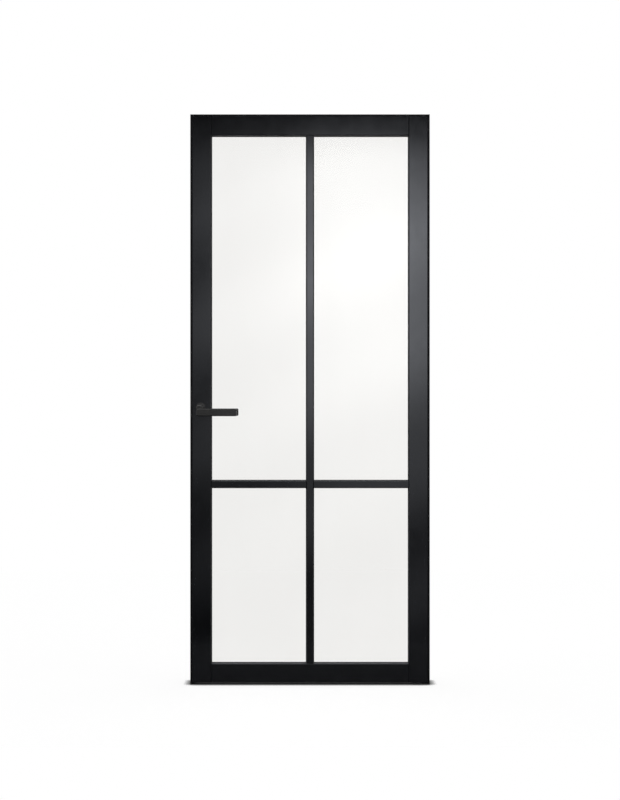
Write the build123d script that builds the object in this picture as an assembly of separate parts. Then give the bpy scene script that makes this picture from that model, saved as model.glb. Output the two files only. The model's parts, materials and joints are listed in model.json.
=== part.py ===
from build123d import *
import math
import os

# Black interior door with four panes: a stile-and-rail leaf on hidden pivots, in a slim steel plate frame.
# Millimetres. X runs from the lock side to the pivot side, Y from the front to the back, and Z up.
# The origin is on the floor, in the middle of the leaf's width and thickness.

# Leaf
leaf_width = 880.0
leaf_height = 2115.0
leaf_thickness = 40.0
member_width = 72.0  # stiles and rails, from the leaf's edge to the opening
bar_width = 28.0
bar_level = 748.0  # middle of the cross bar above the floor
opening_chamfer = 3.0  # front edges round the openings and back edges of the beads
leaf_arris = 2.0  # rounding along the leaf's outer edges
dowel_radius = 5.0
dowel_length = 70.0
dowel_spacing = 36.0  # between the two dowels of a corner
bar_dowel_radius = 3.0
bar_dowel_depth = 20.0  # in each of the two pieces that it joins
dowel_clearance = 0.05

# Glazing
glass_thickness = 6.0
gasket_side = 2.0  # rubber on each face of the glass
gasket_edge = 2.0  # rubber round the edge of the glass
gasket_lip = 1.5  # rubber that shows past the wood
rebate_depth = 10.0
rebate_clearance = 0.5  # room round the gasket
bead_screw_spacing = 600.0  # at most
bead_screw_end = 60.0  # from a bead's end to its first screw
bead_screw_short = 0.5  # its point stops short of the middle of a bar

# Frame
frame_plate = 4.0
frame_break = 0.8  # rounding along the front edges of the plates
side_gap = 3.0
head_gap = 3.0
floor_gap = 7.0
stop_width = 12.0
stop_depth = 12.0
stop_gap = 4.0  # behind the leaf
stop_screw_spacing = 520.0  # at most
stop_screw_end = 90.0
seal_width = 8.0
seal_clearance = 0.3
seal_end_clearance = 3.0  # between the head seal's end and the swinging back corner of the leaf
bracket_leg = 44.0
bracket_width = 22.0
bracket_thickness = 3.0
bracket_inset = 8.0  # behind the stops
bracket_screw_from_corner = (16.0, 34.0)  # from the frame's inner corner
wall_hole_radius = 3.0
wall_hole_spacings = (500.0, 1500.0)  # inner and outer pair of each jamb
wall_hole_middle = 1050.0  # middle of both pairs above the floor
head_hole_spacing = 440.0

# Pivots
pivot_from_edge = 14.5
pivot_from_front = 10.2
pivot_pin_radius = 4.0
pivot_running_clearance = 0.05
bush_wall = 1.5
bush_length = 22.0
flange_radius = 9.0
flange_thickness = 2.0
head_flange_thickness = 1.5
housing_length = 42.0
pin_in_housing = 38.0
pin_end_room = 1.0  # between the floor pin's end and the top of its bush
floor_plate_thickness = 4.0
floor_plate_length = 62.0
floor_hole_radius = 2.75
floor_hole_spacing = 20.0
floor_hole_from_end = 12.0
seat_clearance = 0.05  # round pieces that are pressed or screwed in

# Lever set
lever_level = 1034.5  # spindle above the floor
backset = 31.5  # spindle from the leaf's lock edge
lever_projection = 55.0
grip_height = 28.0
grip_thickness = 10.0
grip_reach = 137.5  # from the spindle to the free end
neck_rise = 4.0  # spindle above the grip's upper edge
grip_end_radius = 5.0
grip_heel_radius = 8.0
grip_edge_radius = 3.0
grip_back_radius = 1.0
neck_radius = 11.5
neck_set_back = 2.5  # from the grip's front to the neck's end
neck_dome_radius = 6.0
shank_radius = 8.0
spindle_side = 8.0
spindle_clearance = 0.05
spindle_in_neck = 33.0
grub_radius = 2.5
grub_from_rose = 20.0
grub_sink = 0.5

# Roses
rose_radius = 18.0
rose_height = 4.5
rose_wall = 1.2
rose_edge_radius = 1.5
rose_base_radius = 16.5
rose_base_thickness = 2.8
rose_bore_clearance = 0.4
neck_clearance = 0.3
rose_screw_circle = 12.2  # radius of the circle that the screws stand on

# Lock
forend_thickness = 3.0
forend_width = 20.0
forend_above = 74.0  # above the spindle
forend_below = 60.0
forend_screw_from_end = 9.0
case_above = 40.0
case_below = 26.0
case_past_spindle = 16.0
case_thickness = 15.0
case_wall = 1.5
mortice_clearance = 0.5
post_radius = 3.0
post_inset = 4.0
follower_radius = 8.5
follower_thickness = 10.0
journal_radius = 7.0
arm_length = 12.5  # from the spindle to the middle of the arm's round nose
arm_nose_radius = 2.5
lug_clearance = 0.6
lug_thickness = 3.0
lug_level = 9.5  # lower end of the latch's lug above the spindle
latch_throw = 6.5
latch_height = 18.0
latch_thickness = 11.0
latch_level = 19.5  # middle of the latch above the spindle
latch_back = 5.0  # from the spindle to the back of the latch's head
latch_nose = 2.0  # flat at the tip
latch_clearance = 0.6
tail_height = 6.0
tail_thickness = 8.0
spring_wire_radius = 0.4
spring_radius = 1.9
latch_spring_level = 25.7
latch_spring_turns = 7
return_spring_turns = 8

# Strike
strike_thickness = 1.5
strike_width = 24.0
strike_length = 110.0
strike_screw_from_end = 12.0
strike_slot_clearance = 1.2

# Screws: shank radius, head radius
thin_screw = (1.5, 2.8)
small_screw = (1.75, 3.4)
middle_screw = (2.0, 4.0)
large_screw = (2.5, 4.8)
socket_share = 0.5  # of the head's radius
socket_depth_share = 0.6  # of the head's height
forend_screw_length = 30.0
rose_screw_length = 12.0
cover_screw_length = 6.0
screw_clearance = 0.05

overrun = 1.0  # how far cuts run past a face
edge_tolerance = 0.01
quarter_turn = 90
hexagon_sides = 6

# Planes that the pieces share
front = -leaf_thickness / 2
back = leaf_thickness / 2
leaf_side = leaf_width / 2
leaf_bottom = floor_gap
leaf_top = floor_gap + leaf_height
opening_side = leaf_side - member_width
opening_bottom = leaf_bottom + member_width
opening_top = leaf_top - member_width
bar_side = bar_width / 2
jamb_inner = leaf_side + side_gap
jamb_outer = jamb_inner + frame_plate
head_under = leaf_top + head_gap
frame_top = head_under + frame_plate
frame_back = back + lever_projection
stop_front = back + stop_gap
stop_back = stop_front + stop_depth
stop_inner = jamb_inner - stop_width
stop_under = head_under - stop_width
gasket_half = glass_thickness / 2 + gasket_side
gasket_reach = rebate_depth - rebate_clearance
glass_cover = gasket_reach - gasket_edge
pivot_x = leaf_side - pivot_from_edge
pivot_y = front + pivot_from_front
bush_radius = pivot_pin_radius + bush_wall
axis_x = backset - leaf_side
axis_z = lever_level
rose_front = front - rose_height
case_half = case_thickness / 2
case_inner = case_half - case_wall
case_back = axis_x + case_past_spindle
forend_back = forend_thickness - leaf_side
wall_row = (stop_back + frame_back) / 2
axis_place = (axis_x, axis_z)
neck_root = rose_front - neck_clearance
square_hole_side = spindle_side + 2 * spindle_clearance
running_bore = pivot_pin_radius + pivot_running_clearance
journal_bore = journal_radius + pivot_running_clearance
floor_plate_z = (0, floor_plate_thickness)
case_y = (-case_half, case_half)
case_z = (axis_z - case_below, axis_z + case_above)
forend_y = (-forend_width / 2, forend_width / 2)
forend_z = (axis_z - forend_below, axis_z + forend_above)
latch_z = axis_z + latch_level
latch_y = (-latch_thickness / 2, latch_thickness / 2)
latch_span = (latch_z - latch_height / 2, latch_z + latch_height / 2)
seal_y = (back + seal_clearance, stop_front)
corner_sweep = math.hypot(pivot_from_edge, back - pivot_y)  # from the pivot to the leaf's back corner
seal_end = pivot_x - math.sqrt(corner_sweep**2 - (seal_y[0] - pivot_y) ** 2) - seal_end_clearance
latch_spring_x = (axis_x - latch_back, case_back - case_wall)
return_spring_x = (forend_back, axis_x - arm_nose_radius)

openings = {
    "upper_left": ((-opening_side, -bar_side), (bar_level + bar_side, opening_top)),
    "upper_right": ((bar_side, opening_side), (bar_level + bar_side, opening_top)),
    "lower_left": ((-opening_side, -bar_side), (opening_bottom, bar_level - bar_side)),
    "lower_right": ((bar_side, opening_side), (opening_bottom, bar_level - bar_side)),
}


# Shapes that many pieces use
def block(x, y, z):
    """Box between three pairs of limits."""
    limits = (x, y, z)
    middle = [(low + high) / 2 for low, high in limits]
    return Pos(*middle) * Box(*[high - low for low, high in limits])


def rod(radius, axis, span, across):
    """Round bar along one axis, with its place given on the other two."""
    length = span[1] - span[0]
    middle = (span[0] + span[1]) / 2
    if axis == "x":
        return Pos(middle, *across) * Rot(0, quarter_turn, 0) * Cylinder(radius, length)
    if axis == "y":
        return Pos(across[0], middle, across[1]) * Rot(quarter_turn, 0, 0) * Cylinder(radius, length)
    return Pos(*across, middle) * Cylinder(radius, length)


def grown(limits, amount):
    return (limits[0] - amount, limits[1] + amount)


def slab(outline, y):
    """Outline drawn in X and Z, made solid between two depths."""
    return extrude(Plane.XZ.offset(-y[1]) * outline, amount=y[1] - y[0], dir=(0, -1, 0))


def edges_at(shape, axis, **place):
    """Straight edges along an axis, at the given X, Y or Z."""
    found = shape.edges().filter_by(axis)
    for letter, value in place.items():
        limits = grown((value, value), edge_tolerance)
        found = found.filter_by_position(getattr(Axis, letter), *limits)
    return found


def at(point, direction, shape):
    """Shape made along +Z at the origin, stood on a point and turned to a direction."""
    return Plane(origin=point, z_dir=direction).location * shape


def screw_form(size, length, clearance=0.0):
    """Countersunk screw below the origin, with its flat head facing +Z."""
    shank, head = size
    cone_height = head - shank
    cone = Cone(shank + clearance, head + clearance, cone_height)
    return Pos(0, 0, -cone_height / 2) * cone + Pos(0, 0, -length / 2) * Cylinder(shank + clearance, length)


def screw(size, length):
    """Countersunk screw with a six-sided socket."""
    shank, head = size
    depth = (head - shank) * socket_depth_share
    socket = extrude(RegularPolygon(head * socket_share, hexagon_sides), amount=-depth)
    return screw_form(size, length) - socket


def screws(size, length, places):
    return Compound(children=[at(point, direction, screw(size, length)) for point, direction in places])


def screw_holes(shape, size, length, places):
    hole = screw_form(size, length, screw_clearance)
    for point, direction in places:
        shape = shape - at(point, direction, hole)
    return shape


def evenly(limits, end, spacing):
    """Places along a length, a fixed way from its ends and no further apart than the spacing."""
    low, high = limits[0] + end, limits[1] - end
    steps = max(1, math.ceil((high - low) / spacing))
    return [low + (high - low) * step / steps for step in range(steps + 1)]


def coil(x, turns, level):
    """Coil spring along X between two faces, at a level above the spindle."""
    height = x[1] - x[0] - 2 * spring_wire_radius
    path = Helix(height / turns, height, spring_radius)
    section = Plane(path @ 0, z_dir=path % 0) * Circle(spring_wire_radius)
    wire = sweep(section, path=path, is_frenet=True)
    return Pos(x[0] + spring_wire_radius, 0, axis_z + level) * Rot(0, quarter_turn, 0) * wire


# Places of fasteners and dowels
lip_middle = (front - gasket_half) / 2
bead_middle = (gasket_half + back) / 2
stop_middle = (stop_front + stop_back) / 2
bracket_front = stop_back + bracket_inset
bracket_middle = bracket_front + bracket_width / 2
strike_slot_y = grown(latch_y, strike_slot_clearance)
strike_slot_z = grown(latch_span, strike_slot_clearance)
bead_screw_length = bar_side - bead_screw_short
stop_screw_length = stop_width + frame_plate
bracket_screw_length = bracket_thickness + frame_plate
strike_screw_length = strike_thickness + frame_plate


def corner_dowels(clearance=0.0):
    """Two dowels across each joint of a rail and a stile."""
    dowels = []
    for level in ((leaf_bottom + opening_bottom) / 2, (opening_top + leaf_top) / 2):
        for joint in (-opening_side, opening_side):
            span = grown((joint, joint), dowel_length / 2 + clearance)
            for height in grown((level, level), dowel_spacing / 2):
                dowels.append(rod(dowel_radius + clearance, "x", span, (0, height)))
    return dowels


def bar_dowels(clearance=0.0):
    """One dowel across each end joint of the bars, and one through the upright bar into both cross bars."""
    radius = bar_dowel_radius + clearance
    reach = bar_dowel_depth + clearance
    uprights = [grown((end, end), reach) for end in (opening_bottom, opening_top)]
    levels = [grown((end, end), reach) for end in (-opening_side, opening_side)]
    levels.append(grown((-bar_side, bar_side), reach))
    dowels = [rod(radius, "z", span, (0, lip_middle)) for span in uprights]
    return dowels + [rod(radius, "x", span, (lip_middle, bar_level)) for span in levels]


def bead_screw_places():
    """Head points of the bead screws and the way the heads face."""
    places = []
    for x, z in openings.values():
        for height in evenly(z, bead_screw_end, bead_screw_spacing):
            places.append(((x[0], bead_middle, height), (1, 0, 0)))
            places.append(((x[1], bead_middle, height), (-1, 0, 0)))
        for across in evenly(x, bead_screw_end, bead_screw_spacing):
            places.append(((across, bead_middle, z[0]), (0, 0, 1)))
            places.append(((across, bead_middle, z[1]), (0, 0, -1)))
    return places


def stop_screw_places():
    heights = evenly((0, head_under), stop_screw_end, stop_screw_spacing)
    places = [((-stop_inner, stop_middle, height), (1, 0, 0)) for height in heights]
    places += [((stop_inner, stop_middle, height), (-1, 0, 0)) for height in heights]
    for across in evenly((-stop_inner, stop_inner), stop_screw_end, stop_screw_spacing):
        places.append(((across, stop_middle, stop_under), (0, 0, -1)))
    return places


def bracket_screw_places():
    places = []
    for side in (-1, 1):
        for place in bracket_screw_from_corner:
            beside = side * (jamb_inner - bracket_thickness)
            places.append(((beside, bracket_middle, head_under - place), (-side, 0, 0)))
            across = side * (jamb_inner - place)
            places.append(((across, bracket_middle, head_under - bracket_thickness), (0, 0, -1)))
    return places


strike_screw_places = [
    ((strike_thickness - jamb_inner, 0, height), (1, 0, 0))
    for height in grown((latch_z, latch_z), strike_length / 2 - strike_screw_from_end)
]
forend_screw_places = [
    ((-leaf_side, 0, axis_z - forend_below + forend_screw_from_end), (-1, 0, 0)),
    ((-leaf_side, 0, axis_z + forend_above - forend_screw_from_end), (-1, 0, 0)),
]
rose_screw_places = [
    ((across, side * (back + rose_base_thickness), axis_z), (0, side, 0))
    for side in (-1, 1)
    for across in grown((axis_x, axis_x), rose_screw_circle)
]
post_places = [
    (case_back - case_wall - post_inset, axis_z + case_above - case_wall - post_inset),
    (case_back - case_wall - post_inset, axis_z - case_below + case_wall + post_inset),
    (forend_back + case_wall + post_inset, axis_z - case_below + case_wall + post_inset),
]
cover_screw_places = [((x, case_half, z), (0, 1, 0)) for x, z in post_places]


# Timber of the leaf
def joined(piece):
    """Timber with its rebates, dowel holes and bead screw holes."""
    for x, z in openings.values():
        piece -= block(grown(x, rebate_depth), (-gasket_half, back + overrun), grown(z, rebate_depth))
    piece -= corner_dowels(dowel_clearance) + bar_dowels(dowel_clearance)
    hole = screw_form(thin_screw, bead_screw_length, screw_clearance)
    return piece - [at(point, direction, hole) for point, direction in bead_screw_places()]


def stile(side):
    """Upright member, on the lock side (-1) or the pivot side (1)."""
    x = sorted((side * leaf_side, side * opening_side))
    piece = block(x, (front, back), (leaf_bottom, leaf_top))
    piece = fillet(edges_at(piece, Axis.Z, X=side * leaf_side), leaf_arris)
    piece = chamfer(edges_at(piece, Axis.Z, X=side * opening_side, Y=front), opening_chamfer)
    return joined(piece)


def lock_stile():
    """Stile with the lock's mortice, the forend's recess and the bore for the spindle."""
    piece = stile(-1)
    mortice_x = (-leaf_side - overrun, case_back + mortice_clearance)
    piece -= block(mortice_x, grown(case_y, mortice_clearance), grown(case_z, mortice_clearance))
    piece -= block((-leaf_side - overrun, forend_back), forend_y, forend_z)
    piece -= rod(shank_radius + rose_bore_clearance, "y", grown((front, back), overrun), axis_place)
    piece = screw_holes(piece, middle_screw, forend_screw_length, forend_screw_places)
    return screw_holes(piece, small_screw, rose_screw_length, rose_screw_places)


def pivot_stile():
    """Stile with the seats of the pivot bush below and the pivot housing above."""
    piece = stile(1)
    radius = bush_radius + seat_clearance
    flange = flange_radius + seat_clearance
    piece -= pivot_rod(radius, (leaf_bottom - overrun, leaf_bottom + bush_length))
    piece -= pivot_rod(flange, (leaf_bottom - overrun, leaf_bottom + flange_thickness))
    piece -= pivot_rod(radius, (leaf_top - housing_length, leaf_top + overrun))
    return piece - pivot_rod(flange, (leaf_top - flange_thickness, leaf_top + overrun))


def rail(z, opening_edge):
    piece = block((-opening_side, opening_side), (front, back), z)
    piece = chamfer(edges_at(piece, Axis.X, Y=front, Z=opening_edge), opening_chamfer)
    return joined(piece)


def upright_bar():
    piece = block((-bar_side, bar_side), (front, back), (opening_bottom, opening_top))
    return joined(chamfer(edges_at(piece, Axis.Z, Y=front), opening_chamfer))


def cross_bar(x):
    piece = block(x, (front, back), grown((bar_level, bar_level), bar_side))
    return joined(chamfer(edges_at(piece, Axis.X, Y=front), opening_chamfer))


# Glazing
def glass(x, z):
    return block(grown(x, glass_cover), (-glass_thickness / 2, glass_thickness / 2), grown(z, glass_cover))


def gasket(x, z):
    """Rubber channel round the edge of one pane."""
    y = (-gasket_half, gasket_half)
    ring = block(grown(x, gasket_reach), y, grown(z, gasket_reach))
    ring -= block(grown(x, -gasket_lip), grown(y, overrun), grown(z, -gasket_lip))
    return ring - glass(x, z)


def beads(x, z):
    """Four mitred beads that hold one pane from the back."""
    y = (gasket_half, back)
    outer_x, outer_z = grown(x, rebate_depth), grown(z, rebate_depth)
    ring = block(outer_x, y, outer_z) - block(x, grown(y, overrun), z)
    inner_edges = edges_at(ring, Axis.X, Y=back, Z=z[0]) + edges_at(ring, Axis.X, Y=back, Z=z[1])
    inner_edges += edges_at(ring, Axis.Z, Y=back, X=x[0]) + edges_at(ring, Axis.Z, Y=back, X=x[1])
    ring = chamfer(inner_edges, opening_chamfer)
    hole = screw_form(thin_screw, bead_screw_length, screw_clearance)
    ring -= [at(point, direction, hole) for point, direction in bead_screw_places()]
    outer = [(outer_x[i], outer_z[j]) for i, j in ((0, 0), (1, 0), (1, 1), (0, 1))]
    inner = [(x[i], z[j]) for i, j in ((0, 0), (1, 0), (1, 1), (0, 1))]
    pieces = []
    for corner in range(len(outer)):
        following = (corner + 1) % len(outer)
        mitred = Polygon(outer[corner], outer[following], inner[following], inner[corner], align=None)
        pieces += (ring & slab(mitred, y)).solids()
    return Compound(children=pieces)


# Frame
def jamb(side):
    x = sorted((side * jamb_inner, side * jamb_outer))
    plate = block(x, (front, frame_back), (0, frame_top))
    plate = fillet(edges_at(plate, Axis.Z, Y=front), frame_break)
    for spacing in wall_hole_spacings:
        for height in grown((wall_hole_middle, wall_hole_middle), spacing / 2):
            plate -= rod(wall_hole_radius, "x", grown(x, overrun), (wall_row, height))
    plate = screw_holes(plate, middle_screw, stop_screw_length, stop_screw_places())
    return screw_holes(plate, large_screw, bracket_screw_length, bracket_screw_places())


def lock_jamb():
    """Jamb with the slot that the latch enters."""
    slot = block((-jamb_outer - overrun, -jamb_inner + overrun), strike_slot_y, strike_slot_z)
    return screw_holes(jamb(-1) - slot, middle_screw, strike_screw_length, strike_screw_places)


def pivot_jamb():
    """Jamb notched over the floor plate."""
    x = grown((jamb_inner, jamb_outer), overrun)
    return jamb(1) - block(x, (front - overrun, back), floor_plate_z)


def head_plate():
    plate = block((-jamb_inner, jamb_inner), (front, frame_back), (head_under, frame_top))
    plate = fillet(edges_at(plate, Axis.X, Y=front), frame_break)
    for across in (-head_hole_spacing / 2, head_hole_spacing / 2):
        plate -= rod(wall_hole_radius, "z", grown((head_under, frame_top), overrun), (across, wall_row))
    plate -= pivot_rod(bush_radius + seat_clearance, grown((head_under, frame_top), overrun))
    plate = screw_holes(plate, middle_screw, stop_screw_length, stop_screw_places())
    return screw_holes(plate, large_screw, bracket_screw_length, bracket_screw_places())


def stop(x, z):
    bar = block(x, (stop_front, stop_back), z)
    return screw_holes(bar, middle_screw, stop_screw_length, stop_screw_places())


def corner_bracket(side):
    """Angle between a jamb and the head."""
    y = (bracket_front, bracket_front + bracket_width)
    upright_x = sorted((side * jamb_inner, side * (jamb_inner - bracket_thickness)))
    level_x = sorted((side * jamb_inner, side * (jamb_inner - bracket_leg)))
    angle = block(upright_x, y, (head_under - bracket_leg, head_under))
    angle += block(level_x, y, (head_under - bracket_thickness, head_under))
    return screw_holes(angle, large_screw, bracket_screw_length, bracket_screw_places())


def strike_plate():
    x = (-jamb_inner, strike_thickness - jamb_inner)
    plate = block(x, (-strike_width / 2, strike_width / 2), grown((latch_z, latch_z), strike_length / 2))
    plate -= block(grown(x, overrun), strike_slot_y, strike_slot_z)
    return screw_holes(plate, middle_screw, strike_screw_length, strike_screw_places)


# Pivots
def pivot_rod(radius, z):
    return rod(radius, "z", z, (pivot_x, pivot_y))


def floor_plate():
    x = (jamb_outer - floor_plate_length, jamb_outer)
    plate = block(x, (front, back), floor_plate_z)
    through = grown(floor_plate_z, overrun)
    plate -= pivot_rod(pivot_pin_radius + seat_clearance, through)
    for depth in (-floor_hole_spacing / 2, floor_hole_spacing / 2):
        plate -= rod(floor_hole_radius, "z", through, (x[0] + floor_hole_from_end, depth))
    return plate


def thrust_washer():
    z = (floor_plate_thickness, leaf_bottom)
    return pivot_rod(flange_radius, z) - pivot_rod(running_bore, grown(z, overrun))


def pivot_bush():
    """Flanged bush in the foot of the pivot stile."""
    z = (leaf_bottom, leaf_bottom + bush_length)
    bush = pivot_rod(bush_radius, z) + pivot_rod(flange_radius, (z[0], z[0] + flange_thickness))
    return bush - pivot_rod(running_bore, grown(z, overrun))


def head_bush():
    """Flanged bush in the head plate."""
    z = (head_under - head_flange_thickness, frame_top)
    bush = pivot_rod(bush_radius, z) + pivot_rod(flange_radius, (z[0], head_under))
    return bush - pivot_rod(running_bore, grown(z, overrun))


def pivot_housing():
    """Flanged sleeve, closed below, that holds the upper pin in the pivot stile."""
    sleeve = pivot_rod(bush_radius, (leaf_top - housing_length, leaf_top))
    sleeve += pivot_rod(flange_radius, (leaf_top - flange_thickness, leaf_top))
    socket = (leaf_top - pin_in_housing, leaf_top + overrun)
    return sleeve - pivot_rod(pivot_pin_radius + seat_clearance, socket)


# Lever set
def field(x, z):
    """Rectangle between limits, in an outline drawn in X and Z."""
    return Pos((x[0] + x[1]) / 2, (z[0] + z[1]) / 2) * Rectangle(x[1] - x[0], z[1] - z[0])


def square_bar(side, y):
    """Square bar on the spindle's axis."""
    return block(grown((axis_x, axis_x), side / 2), y, grown((axis_z, axis_z), side / 2))


def grip_outline():
    """Flat grip just below the spindle, drawn round it."""
    grip_bottom = -neck_rise - grip_height
    outline = field((-neck_radius, grip_reach), (grip_bottom, -neck_rise))
    corners = (
        ((grip_reach, -neck_rise), grip_end_radius),
        ((grip_reach, grip_bottom), grip_end_radius),
        ((-neck_radius, grip_bottom), grip_heel_radius),
        ((-neck_radius, -neck_rise), grip_heel_radius),
    )
    for (x, z), radius in corners:
        outline = fillet(outline.vertices().sort_by_distance((x, z, 0))[0], radius)
    return outline


def lever():
    """Front lever: flat grip, the domed neck behind it and the shank that turns in the rose."""
    grip_y = (front - lever_projection, front - lever_projection + grip_thickness)
    grip = slab(Pos(axis_x, axis_z) * grip_outline(), grip_y)
    grip = fillet(grip.faces().sort_by(Axis.Y)[0].edges(), grip_edge_radius)
    grip = fillet(grip.faces().sort_by(Axis.Y)[-1].edges(), grip_back_radius)
    neck = rod(neck_radius, "y", (grip_y[0] + neck_set_back, neck_root), axis_place)
    piece = grip + fillet(neck.faces().sort_by(Axis.Y)[0].edges(), neck_dome_radius)
    piece += rod(shank_radius, "y", (neck_root, front), axis_place)
    piece -= square_bar(square_hole_side, (neck_root - spindle_in_neck, front + overrun))
    grub_hole = (axis_z - neck_radius - overrun, axis_z)
    return piece - rod(grub_radius + seat_clearance, "z", grub_hole, (axis_x, neck_root - grub_from_rose))


def grub_screw():
    bottom = axis_z - neck_radius + grub_sink
    place = (axis_x, neck_root - grub_from_rose)
    body = rod(grub_radius, "z", (bottom, axis_z - spindle_side / 2), place)
    hexagon = RegularPolygon(grub_radius * socket_share, hexagon_sides)
    socket = extrude(hexagon, amount=grub_radius * socket_depth_share)
    return body - Pos(*place, bottom) * socket


def spindle():
    reach = spindle_in_neck - neck_root
    return square_bar(spindle_side, (-reach, reach))


def rose_base():
    y = (front - rose_base_thickness, front)
    base = rod(rose_base_radius, "y", y, axis_place)
    base -= rod(shank_radius + pivot_running_clearance, "y", grown(y, overrun), axis_place)
    return screw_holes(base, small_screw, rose_screw_length, rose_screw_places)


def rose_cap():
    """Hollow cap that hides the base and its screws."""
    y = (rose_front, front)
    cap = rod(rose_radius, "y", y, axis_place)
    cap = fillet(cap.faces().sort_by(Axis.Y)[0].edges(), rose_edge_radius)
    cap -= rod(rose_radius - rose_wall, "y", (rose_front + rose_wall, front + overrun), axis_place)
    return cap - rod(shank_radius + rose_bore_clearance, "y", grown(y, overrun), axis_place)


# Lock
def follower():
    """Hub on the spindle, with an arm for the latch above and one for the return spring below."""
    arm = field(grown((0, 0), arm_nose_radius), (-arm_length, arm_length))
    noses = [Pos(0, height) * Circle(arm_nose_radius) for height in (-arm_length, arm_length)]
    outline = Circle(follower_radius) + arm + noses
    half = follower_thickness / 2
    hub = slab(Pos(axis_x, axis_z) * outline, (-half, half))
    hub += rod(journal_radius, "y", case_y, axis_place)
    return hub - square_bar(square_hole_side, grown(case_y, overrun))


def lock_case():
    """Tray with its posts, open towards the forend and the cover."""
    tray = block((forend_back, case_back), (-case_half, case_inner), case_z)
    hollow_x = (forend_back - overrun, case_back - case_wall)
    tray -= block(hollow_x, (-case_inner, case_inner + overrun), grown(case_z, -case_wall))
    for place in post_places:
        tray += rod(post_radius, "y", (-case_inner, case_inner), place)
    tray -= rod(journal_bore, "y", grown(case_y, overrun), axis_place)
    return screw_holes(tray, thin_screw, cover_screw_length, cover_screw_places)


def lock_cover():
    plate = block((forend_back, case_back), (case_inner, case_half), case_z)
    plate -= rod(journal_bore, "y", grown(case_y, overrun), axis_place)
    return screw_holes(plate, thin_screw, cover_screw_length, cover_screw_places)


def forend():
    x = (-leaf_side, forend_back)
    plate = block(x, forend_y, forend_z)
    plate -= block(grown(x, overrun), grown(latch_y, latch_clearance), grown(latch_span, latch_clearance))
    return screw_holes(plate, middle_screw, forend_screw_length, forend_screw_places)


def latch_bolt():
    """Bevelled head with a tail over the follower's arm and a lug behind it."""
    near, far = latch_y
    tip = -leaf_side - latch_throw
    head_back = axis_x - latch_back
    bevel = [(head_back, near), (tip, near), (tip, near + latch_nose), (-leaf_side, far), (head_back, far)]
    foot = Pos(0, 0, latch_span[0]) * Polygon(*bevel, align=None)
    bolt = extrude(foot, amount=latch_height, dir=(0, 0, 1))
    lug_front = axis_x + arm_nose_radius + lug_clearance
    lug_back = lug_front + lug_thickness
    tail_y = (-tail_thickness / 2, tail_thickness / 2)
    tail_z = grown((latch_z, latch_z), tail_height / 2)
    bolt += block((head_back, lug_back), tail_y, tail_z)
    return bolt + block((lug_front, lug_back), tail_y, (axis_z + lug_level, tail_z[1]))


# All pieces by name
pieces = {
    "frame_jamb_lock": lock_jamb(),
    "frame_jamb_pivot": pivot_jamb(),
    "frame_head": head_plate(),
    "stop_lock": stop((-jamb_inner, -stop_inner), (0, head_under)),
    "stop_pivot": stop((stop_inner, jamb_inner), (0, head_under)),
    "stop_head": stop((-stop_inner, stop_inner), (stop_under, head_under)),
    "stop_screws": screws(middle_screw, stop_screw_length, stop_screw_places()),
    "seal_lock": block((-leaf_side, seal_width - leaf_side), seal_y, (0, leaf_top - seal_width)),
    "seal_head": block((-leaf_side, seal_end), seal_y, (leaf_top - seal_width, leaf_top)),
    "corner_brackets": Compound(children=[corner_bracket(side) for side in (-1, 1)]),
    "bracket_screws": screws(large_screw, bracket_screw_length, bracket_screw_places()),
    "strike_plate": strike_plate(),
    "strike_screws": screws(middle_screw, strike_screw_length, strike_screw_places),
    "head_bush": head_bush(),
    "floor_plate": floor_plate(),
    "floor_pin": pivot_rod(pivot_pin_radius, (0, leaf_bottom + bush_length - pin_end_room)),
    "thrust_washer": thrust_washer(),
    "stile_lock": lock_stile(),
    "stile_pivot": pivot_stile(),
    "rail_top": rail((opening_top, leaf_top), opening_top),
    "rail_bottom": rail((leaf_bottom, opening_bottom), opening_bottom),
    "bar_upright": upright_bar(),
    "bar_cross_left": cross_bar((-opening_side, -bar_side)),
    "bar_cross_right": cross_bar((bar_side, opening_side)),
    "corner_dowels": Compound(children=corner_dowels()),
    "bar_dowels": Compound(children=bar_dowels()),
    "bead_screws": screws(thin_screw, bead_screw_length, bead_screw_places()),
    "pivot_housing": pivot_housing(),
    "pivot_pin": pivot_rod(pivot_pin_radius, (leaf_top - pin_in_housing, frame_top)),
    "pivot_bush": pivot_bush(),
    "lock_case": lock_case(),
    "lock_cover": lock_cover(),
    "cover_screws": screws(thin_screw, cover_screw_length, cover_screw_places),
    "lock_forend": forend(),
    "forend_screws": screws(middle_screw, forend_screw_length, forend_screw_places),
    "latch_bolt": latch_bolt(),
    "latch_spring": coil(latch_spring_x, latch_spring_turns, latch_spring_level),
    "return_spring": coil(return_spring_x, return_spring_turns, -arm_length),
    "follower": follower(),
    "spindle": spindle(),
    "rose_base_front": rose_base(),
    "rose_base_back": mirror(rose_base(), about=Plane.XZ),
    "rose_cap_front": rose_cap(),
    "rose_cap_back": mirror(rose_cap(), about=Plane.XZ),
    "rose_screws": screws(small_screw, rose_screw_length, rose_screw_places),
    "lever_front": lever(),
    "lever_back": mirror(lever(), about=Plane.XZ),
    "grub_screws": Compound(children=[grub_screw(), mirror(grub_screw(), about=Plane.XZ)]),
}
for place, opening in openings.items():
    pieces[f"glass_{place}"] = glass(*opening)
    pieces[f"gasket_{place}"] = gasket(*opening)
    pieces[f"beads_{place}"] = beads(*opening)

os.makedirs("parts", exist_ok=True)
for name, piece in pieces.items():
    export_step(piece, f"parts/{name}.step")
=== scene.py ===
import json
import math

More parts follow.
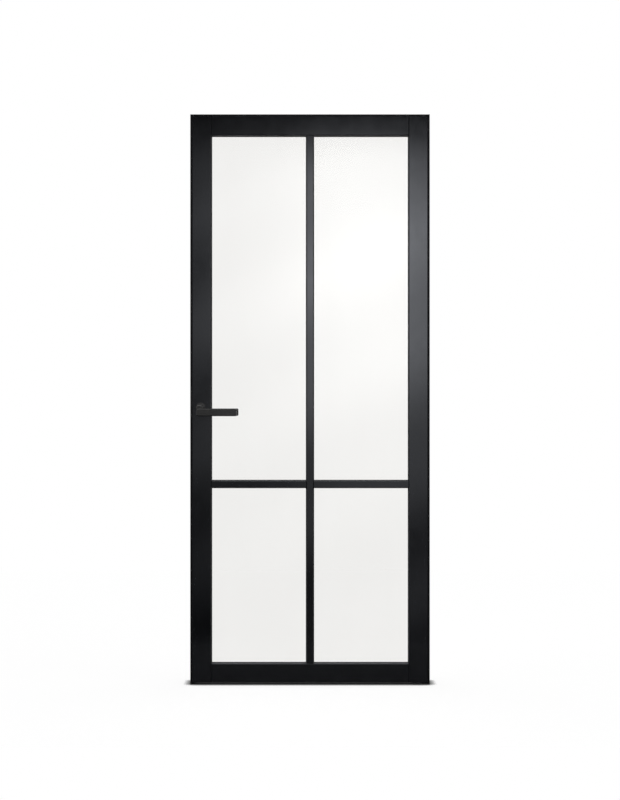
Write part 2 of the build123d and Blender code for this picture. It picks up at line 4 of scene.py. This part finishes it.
import bpy
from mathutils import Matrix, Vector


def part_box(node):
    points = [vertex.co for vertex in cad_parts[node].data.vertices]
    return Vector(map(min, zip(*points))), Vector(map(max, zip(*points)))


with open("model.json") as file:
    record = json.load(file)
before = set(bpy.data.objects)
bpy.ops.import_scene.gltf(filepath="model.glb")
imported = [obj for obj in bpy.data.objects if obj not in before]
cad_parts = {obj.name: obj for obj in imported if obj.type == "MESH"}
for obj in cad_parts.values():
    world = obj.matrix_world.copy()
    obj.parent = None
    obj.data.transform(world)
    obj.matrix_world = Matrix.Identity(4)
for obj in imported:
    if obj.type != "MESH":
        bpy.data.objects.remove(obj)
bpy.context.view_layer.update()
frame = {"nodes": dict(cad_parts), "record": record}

# Looks of the black glazed door: materials on its pieces, studio light, floor and camera.
# Metres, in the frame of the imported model: X to the right, Y away from the viewer, Z up.

record = frame["record"]
nodes = frame["nodes"]

# View
sensor = 36.0  # millimetres along the picture's long side
view_height = 2.9864  # at the front of the leaf
view_middle = 1.0625  # above the floor
camera_distance = 6.0
leaf_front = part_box("stile_lock")[0].y

# Floor
floor_near = 1.1
floor_far = 4.0
floor_half = 3.2
floor_grey = 0.8
floor_shadow_grey = 0.16  # the part of the floor's white that shadows take away
floor_glow = 0.86
mirrored_floor_share = 0.06  # of the floor's white, in what glossy surfaces show
painted_shadow_reach = 0.03  # how far from the object a painted contact shadow dims the floor's white
painted_shadow_samples = 8
painted_shadow_power = 4.0

# Studio: levels over a range of a direction's part along an axis
dome_axis = (0.45, 0.55, 0.7)  # towards the brightest part of the studio
dome_range = (-0.45, 0.5)
dome_levels = (0.12, 1.0)
mirrored_dome_share = 0.2  # of the dome, in what glossy surfaces show
behind_range = (0.0, 0.2)  # of the part away from the viewer, for glossy surfaces
behind_levels = (0.0, 1.0)
side_range = (0.35, 0.8)  # of the sideways part, likewise
side_levels = (0.0, 0.55)
sky_range = (0.35, 0.6)  # of the upward part, likewise
sky_levels = (0.0, 2.0)

# Card behind the camera, measured as the leaf's front mirrors it to the camera
card_behind_camera = 0.6
card_x = (-1.3, 1.5)
card_z = (0.2, 2.01)
# Soft patches of the card: middle, spread, strength, and how its slanting bands vary it
card_patches = (
    ((0.24, 1.62), (0.26, 0.40), 4.3, (0.92, 1.08)),
    ((-0.16, 1.5), (0.7, 0.62), 0.6, (0.3, 1.7)),
    ((0.35, 0.45), (0.4, 0.3), 0.22, (0.0, 2.0)),
)
band_rise = 0.42  # upward for each metre to the right
band_period = 0.45
band_crest = 1.505  # height of one bright band at the middle of the door
close_period = 0.168  # of the bands above the next crest
wave_range = (-1.0, 1.0)
bell_factor = -0.5  # of a squared distance, in the exponent of a bell curve

# Looks: noise is given as waves a metre and detail, a bump as strength and depth
white = (1.0, 1.0, 1.0, 1.0)
none_to_all = (0.0, 1.0)
middle_values = (0.3, 0.7)  # where most values of a noise lie
mix_share, mix_first, mix_second, mix_result = 0, 6, 7, 2  # sockets of a colour mix

wear_samples = 4
wear_cosines = (0.97, 0.8)  # of the rounded normal with the flat one, from no wear to full wear
wear_noise = (60.0, 4.0)
wear_breaks = (0.45, 0.7)

coat_wear_radius = 0.0007
coat_cloud_noise = (7.0, 3.0)
coat_cloud_shades = (0.82, 1.18)
coat_gloss_noise = (23.0, 4.0)
grain_detail = 3.0
peel_detail = 1.0

lacquer_black = (0.0021, 0.0023, 0.0031)
lacquer_worn = (0.0105, 0.0112, 0.013)
lacquer_rough = (0.115, 0.14)
lacquer_specular = 0.5
lacquer_tint = (0.9, 0.93, 1.0, 1.0)
lacquer_grain = 420.0
lacquer_grain_bump = (0.06, 0.00012)
lacquer_peel = 260.0
lacquer_peel_bump = (0.05, 0.0002)
face_range = (0.8, 0.97)  # of the normal's part along the leaf's thickness, from edge to face
reveal_rough = (0.5, 0.0)
upright_grain = (1.0, 1.0, 0.03)
level_grain = (0.03, 1.0, 1.0)
level_timber = ("rail_top", "rail_bottom", "bar_cross_left", "bar_cross_right")

steel_black = (0.004, 0.0043, 0.005)
hardware_black = (0.0042, 0.0039, 0.0038)
hardware_worn = (0.02, 0.019, 0.018)

# Powder coats: colour, worn colour, roughness, grain and its bump, orange peel and its bump, specular level
coats = {
    "black_steel": (steel_black, lacquer_worn, (0.34, 0.42), 1900.0, (0.16, 0.00005), 700.0,
                    (0.08, 0.0001), 0.45),
    "black_hardware": (hardware_black, hardware_worn, (0.2, 0.26), 2400.0, (0.12, 0.00004), 900.0,
                       (0.05, 0.00005), 0.5),
    "black_screws": (hardware_black, hardware_worn, (0.3, 0.42), 3000.0, (0.1, 0.00003), 1200.0,
                     (0.05, 0.00004), 0.5),
    "bearing_polymer": (hardware_black, hardware_worn, (0.3, 0.38), 1500.0, (0.08, 0.00004), 300.0,
                        (0.03, 0.00005), 0.5),
}

zinc_grey = (0.56, 0.57, 0.58)
zinc_rough = (0.26, 0.42)
zinc_wear_radius = 0.0003
zinc_lines = (1400.0, 2.0)
zinc_line_values = (0.25, 0.75)
zinc_stretch = (0.05, 1.0, 1.0)
zinc_bump = (0.12, 0.00005)
zinc_cloud_noise = (90.0, 3.0)
zinc_cloud_shades = (0.85, 1.08)
zinc_worn_shade = 1.25

rubber_black = (0.006, 0.006, 0.0062)
rubber_shades = (0.8, 1.5)
rubber_rough = (0.62, 0.78)
rubber_specular = 0.3
rubber_texture = (2600.0, 2.0)
rubber_bump = (0.2, 0.00004)
rubber_bloom = (18.0, 4.0)

glass_colours = ((0.868, 0.863, 0.848), (0.898, 0.893, 0.878))
glass_marks = (9.0, 5.0)
glass_mark_stretch = (1.0, 1.0, 0.35)
glass_mark_values = (0.5, 0.8)
glass_rough = (0.0, 0.01)
glass_waves = (2.2, 1.0)
glass_wave_bump = (0.03, 0.001)
glass_ior = 1.05
glass_coat_ior = 1.46
glass_coat_rough = 0.1

beech_brown = (0.62, 0.44, 0.27)
beech_shades = (0.7, 1.15)
beech_rough = (0.55, 0.75)
beech_fibres = (500.0, 4.0)
beech_stretch = (0.06, 1.0, 1.0)
beech_bump = (0.3, 0.0001)


# Node helpers
class Tree:
    """Node tree of a material or the world, with short ways to add nodes."""

    def __init__(self, owner):
        owner.use_nodes = True
        self.tree = owner.node_tree
        self.tree.nodes.clear()

    def node(self, kind, inputs=None, **settings):
        """Adds a node; an input is a socket of another node or a plain value."""
        made = self.tree.nodes.new(kind)
        for name, value in settings.items():
            setattr(made, name, value)
        for key, value in (inputs or {}).items():
            if isinstance(value, bpy.types.NodeSocket):
                self.tree.links.new(value, made.inputs[key])
            else:
                made.inputs[key].default_value = value
        return made

    def math(self, operation, *values):
        return self.node("ShaderNodeMath", dict(enumerate(values)), operation=operation).outputs[0]

    def largest(self, first, *others):
        for other in others:
            first = self.math("MAXIMUM", first, other)
        return first

    def dot(self, first, second):
        made = self.node("ShaderNodeVectorMath", {0: first, 1: second}, operation="DOT_PRODUCT")
        return made.outputs["Value"]

    def parts(self, vector):
        return self.node("ShaderNodeSeparateXYZ", {0: vector}).outputs

    def noise(self, place, waves, stretch=None):
        """Noise of some waves a metre and detail, drawn out along an axis by a stretch below one."""
        if stretch:
            place = self.node("ShaderNodeMapping", {"Vector": place, "Scale": stretch}).outputs[0]
        inputs = {"Vector": place, "Scale": waves[0], "Detail": waves[1]}
        return self.node("ShaderNodeTexNoise", inputs).outputs["Fac"]

    def ranged(self, value, source, target):
        """Value taken smoothly from one range to another, and held at its ends."""
        limits = {"Value": value, "From Min": source[0], "From Max": source[1]}
        made = self.node("ShaderNodeMapRange", {**limits, "To Min": target[0], "To Max": target[1]})
        made.interpolation_type = "SMOOTHSTEP"
        return made.outputs[0]

    def blended(self, share, first, second):
        """Colour between two others, each a socket or three plain numbers."""
        made = self.node("ShaderNodeMix", {mix_share: share}, data_type="RGBA")
        for slot, colour in ((mix_first, first), (mix_second, second)):
            if isinstance(colour, bpy.types.NodeSocket):
                self.tree.links.new(colour, made.inputs[slot])
            else:
                made.inputs[slot].default_value = (*colour, 1.0)
        return made.outputs[mix_result]

    def shaded(self, share, colour, shades):
        """One colour between a darker and a paler shade of itself."""
        return self.blended(share, shade(colour, shades[0]), shade(colour, shades[1]))

    def bump(self, height, size, normal=None):
        inputs = {"Height": height, "Strength": size[0], "Distance": size[1]}
        if normal:
            inputs["Normal"] = normal
        return self.node("ShaderNodeBump", inputs).outputs[0]

    def place(self):
        return self.node("ShaderNodeTexCoord").outputs["Object"]

    def worn_edges(self, radius, place):
        """One along edges, broken up by noise, and zero elsewhere; also the rounded normal."""
        rounded = self.node("ShaderNodeBevel", {"Radius": radius}, samples=wear_samples).outputs[0]
        normal = self.node("ShaderNodeNewGeometry").outputs["Normal"]
        edge = self.ranged(self.dot(rounded, normal), wear_cosines, none_to_all)
        broken = self.ranged(self.noise(place, wear_noise), wear_breaks, none_to_all)
        return self.math("MULTIPLY", edge, broken), rounded

    def surface(self, inputs):
        shader = self.node("ShaderNodeBsdfPrincipled", inputs).outputs[0]
        self.node("ShaderNodeOutputMaterial", {"Surface": shader})


def shade(colour, factor):
    return tuple(part * factor for part in colour)


def grey(level):
    return (level, level, level, 1.0)


def new_material(name):
    material = bpy.data.materials.new(name)
    return material, Tree(material)


# Materials
def coated(name, colour, worn, rough, grain, grain_bump, peel, peel_bump, specular):
    """Powder coat: fine texture, orange peel, uneven gloss and slightly worn edges."""
    material, tree = new_material(name)
    place = tree.place()
    edge, rounded = tree.worn_edges(coat_wear_radius, place)
    body = tree.shaded(tree.noise(place, coat_cloud_noise), colour, coat_cloud_shades)
    orange_peel = tree.bump(tree.noise(place, (peel, peel_detail)), peel_bump, rounded)
    tree.surface({
        "Base Color": tree.blended(edge, body, worn),
        "Roughness": tree.ranged(tree.noise(place, coat_gloss_noise), middle_values, rough),
        "Normal": tree.bump(tree.noise(place, (grain, grain_detail)), grain_bump, orange_peel),
        "Specular IOR Level": specular,
    })
    return material


def lacquer(name, stretch):
    """Sprayed satin black on timber: faint grain and orange peel, with edges and reveals sanded duller."""
    material, tree = new_material(name)
    place = tree.place()
    edge, rounded = tree.worn_edges(coat_wear_radius, place)
    normal = tree.node("ShaderNodeTexCoord").outputs["Normal"]
    facing = tree.math("ABSOLUTE", tree.parts(normal)["Y"])
    body = tree.shaded(tree.noise(place, coat_cloud_noise), lacquer_black, coat_cloud_shades)
    uneven = tree.ranged(tree.noise(place, coat_gloss_noise), middle_values, lacquer_rough)
    grain = tree.noise(place, (lacquer_grain, grain_detail), stretch)
    orange_peel = tree.bump(tree.noise(place, (lacquer_peel, peel_detail)), lacquer_peel_bump, rounded)
    tree.surface({
        "Base Color": tree.blended(edge, body, lacquer_worn),
        "Roughness": tree.largest(uneven, tree.ranged(facing, face_range, reveal_rough)),
        "Normal": tree.bump(grain, lacquer_grain_bump, orange_peel),
        "Specular IOR Level": lacquer_specular,
        "Specular Tint": lacquer_tint,
    })
    return material


def plated_steel(name):
    """Zinc plate with fine drawn lines and a cloudy finish."""
    material, tree = new_material(name)
    place = tree.place()
    edge, rounded = tree.worn_edges(zinc_wear_radius, place)
    drawn = tree.noise(place, zinc_lines, zinc_stretch)
    body = tree.shaded(tree.noise(place, zinc_cloud_noise), zinc_grey, zinc_cloud_shades)
    tree.surface({
        "Base Color": tree.blended(edge, body, shade(zinc_grey, zinc_worn_shade)),
        "Metallic": 1.0,
        "Roughness": tree.ranged(drawn, zinc_line_values, zinc_rough),
        "Normal": tree.bump(drawn, zinc_bump, rounded),
    })
    return material


def rubber(name):
    """Matt black rubber with a pale bloom."""
    material, tree = new_material(name)
    place = tree.place()
    bloom = tree.noise(place, rubber_bloom)
    tree.surface({
        "Base Color": tree.shaded(bloom, rubber_black, rubber_shades),
        "Roughness": tree.ranged(bloom, middle_values, rubber_rough),
        "Normal": tree.bump(tree.noise(place, rubber_texture), rubber_bump),
        "Specular IOR Level": rubber_specular,
    })
    return material


def clear_glass(name):
    """Float glass: hardly wavy, with faint wiped marks."""
    material, tree = new_material(name)
    place = tree.place()
    wiped = tree.noise(place, glass_marks, glass_mark_stretch)
    tree.surface({
        "Base Color": tree.blended(wiped, *glass_colours),
        "Roughness": tree.ranged(wiped, glass_mark_values, glass_rough),
        "Normal": tree.bump(tree.noise(place, glass_waves), glass_wave_bump),
        "IOR": glass_ior,
        "Transmission Weight": 1.0,
        "Coat Weight": 1.0,
        "Coat Roughness": glass_coat_rough,
        "Coat IOR": glass_coat_ior,
    })
    return material


def raw_wood(name):
    """Unfinished beech with fine fibres."""
    material, tree = new_material(name)
    fibres = tree.noise(tree.place(), beech_fibres, beech_stretch)
    tree.surface({
        "Base Color": tree.shaded(fibres, beech_brown, beech_shades),
        "Roughness": tree.ranged(fibres, middle_values, beech_rough),
        "Normal": tree.bump(fibres, beech_bump),
    })
    return material


materials = {
    "lacquer_upright": lacquer("lacquer_upright", upright_grain),
    "lacquer_level": lacquer("lacquer_level", level_grain),
    **{name: coated(name, *values) for name, values in coats.items()},
    "black_rubber": rubber("black_rubber"),
    "clear_glass": clear_glass("clear_glass"),
    "lock_steel": plated_steel("lock_steel"),
    "beech": raw_wood("beech"),
}

for subpart in record["subparts"]:
    piece = nodes[subpart["node"]]
    look = subpart["material_slot"]
    if look == "black_lacquer":
        look = "lacquer_level" if piece.name in level_timber else "lacquer_upright"
    piece.data.materials.clear()
    piece.data.materials.append(materials[look])
    if look == "clear_glass":
        piece.visible_shadow = False


# Stage
def sheet(name, corners, material):
    """Flat four-cornered stage piece."""
    mesh = bpy.data.meshes.new(name)
    mesh.from_pydata(corners, [], [tuple(range(len(corners)))])
    mesh.materials.append(material)
    made = bpy.data.objects.new(name, mesh)
    bpy.context.scene.collection.objects.link(made)
    return made


def floor_material():
    """Pale floor that is white where it is seen, and still takes shadows; near the object a painted contact
    shadow darkens its glow.
    """
    material, tree = new_material("floor")
    path = tree.node("ShaderNodeLightPath").outputs
    straight = tree.largest(path["Is Camera Ray"], path["Is Transmission Ray"])
    mirrored = tree.math("MULTIPLY", path["Is Glossy Ray"], mirrored_floor_share)
    matt = tree.node("ShaderNodeBsdfDiffuse", {"Color": grey(floor_grey)}).outputs[0]
    dim = tree.node("ShaderNodeBsdfDiffuse", {"Color": grey(floor_shadow_grey)}).outputs[0]
    # Painted contact shadow: ambient occlusion darkens the floor's glow under and beside the object
    contact = tree.node("ShaderNodeAmbientOcclusion", {"Distance": painted_shadow_reach}, samples=painted_shadow_samples)
    clear = tree.math("POWER", contact.outputs["AO"], painted_shadow_power)
    level = tree.math("MULTIPLY", tree.largest(straight, mirrored), floor_glow)
    level = tree.math("MULTIPLY", level, clear)
    glow = tree.node("ShaderNodeEmission", {"Color": white, "Strength": level}).outputs[0]
    seen = tree.node("ShaderNodeAddShader", {0: dim, 1: glow}).outputs[0]
    shown = tree.largest(straight, path["Is Glossy Ray"])
    both = tree.node("ShaderNodeMixShader", {0: shown, 1: matt, 2: seen}).outputs[0]
    tree.node("ShaderNodeOutputMaterial", {"Surface": both})
    return material


def card_material(larger):
    """Soft box behind the camera: brightest up on the right, crossed by soft slanting bands."""
    material, tree = new_material("card")
    parts = tree.parts(tree.node("ShaderNodeNewGeometry").outputs["Position"])
    x = tree.math("DIVIDE", parts["X"], larger)
    z = tree.math("DIVIDE", tree.math("SUBTRACT", parts["Z"], view_middle), larger)
    z = tree.math("ADD", z, view_middle)
    slant = tree.math("SUBTRACT", z, tree.math("MULTIPLY", x, band_rise))
    turns = tree.math("DIVIDE", tree.math("SUBTRACT", slant, band_crest), band_period)
    close = tree.math("DIVIDE", tree.math("SUBTRACT", slant, band_crest + band_period), close_period)
    turns = tree.largest(turns, tree.math("ADD", close, 1.0))
    wave = tree.math("COSINE", tree.math("MULTIPLY", turns, math.tau))
    level = 0.0
    for middle, spread, strength, bands in card_patches:
        across = tree.math("DIVIDE", tree.math("SUBTRACT", x, middle[0]), spread[0])
        above = tree.math("DIVIDE", tree.math("SUBTRACT", z, middle[1]), spread[1])
        apart = tree.math("ADD", tree.math("POWER", across, 2.0), tree.math("POWER", above, 2.0))
        fading = tree.math("EXPONENT", tree.math("MULTIPLY", apart, bell_factor))
        patch = tree.math("MULTIPLY", fading, tree.ranged(wave, wave_range, bands))
        level = tree.math("ADD", level, tree.math("MULTIPLY", patch, strength))
    glow = tree.node("ShaderNodeEmission", {"Color": white, "Strength": level}).outputs[0]
    tree.node("ShaderNodeOutputMaterial", {"Surface": glow})
    return material


floor_corners = [(-floor_half, -floor_near, 0), (floor_half, -floor_near, 0),
                 (floor_half, floor_far, 0), (-floor_half, floor_far, 0)]
sheet("floor", floor_corners, floor_material())

card_y = leaf_front - camera_distance - card_behind_camera
card_scale = 1 + (camera_distance + card_behind_camera) / camera_distance
left, right = [x * card_scale for x in card_x]
low, high = [view_middle + (z - view_middle) * card_scale for z in card_z]
card_corners = [(left, card_y, low), (left, card_y, high), (right, card_y, high), (right, card_y, low)]
card = sheet("card", card_corners, card_material(card_scale))
card.visible_camera = False
card.visible_transmission = False
card.visible_shadow = False

world = bpy.data.worlds.new("studio")
bpy.context.scene.world = world
tree = Tree(world)
direction = tree.node("ShaderNodeTexCoord").outputs["Generated"]
path = tree.node("ShaderNodeLightPath").outputs
parts = tree.parts(direction)
dome = tree.ranged(tree.dot(direction, dome_axis), dome_range, dome_levels)
behind = tree.ranged(parts["Y"], behind_range, behind_levels)
beside = tree.ranged(tree.math("ABSOLUTE", parts["X"]), side_range, side_levels)
above = tree.ranged(parts["Z"], sky_range, sky_levels)
around = tree.largest(behind, beside, above, tree.math("MULTIPLY", dome, mirrored_dome_share))
mirrored = tree.math("MULTIPLY", path["Is Glossy Ray"], around)
unmirrored = tree.math("MULTIPLY", dome, tree.math("SUBTRACT", 1.0, path["Is Glossy Ray"]))
level = tree.largest(path["Is Camera Ray"], path["Is Transmission Ray"], mirrored, unmirrored)
studio = tree.node("ShaderNodeBackground", {"Color": white, "Strength": level}).outputs[0]
tree.node("ShaderNodeOutputWorld", {"Surface": studio})

# Camera
lens = bpy.data.cameras.new("camera")
lens.sensor_width = sensor
lens.lens = sensor * camera_distance / view_height
camera = bpy.data.objects.new("camera", lens)
camera.location = (0, leaf_front - camera_distance, view_middle)
camera.rotation_euler = (math.pi / 2, 0, 0)
bpy.context.scene.collection.objects.link(camera)
bpy.context.scene.camera = camera

bpy.context.scene.view_settings.view_transform = "Standard"
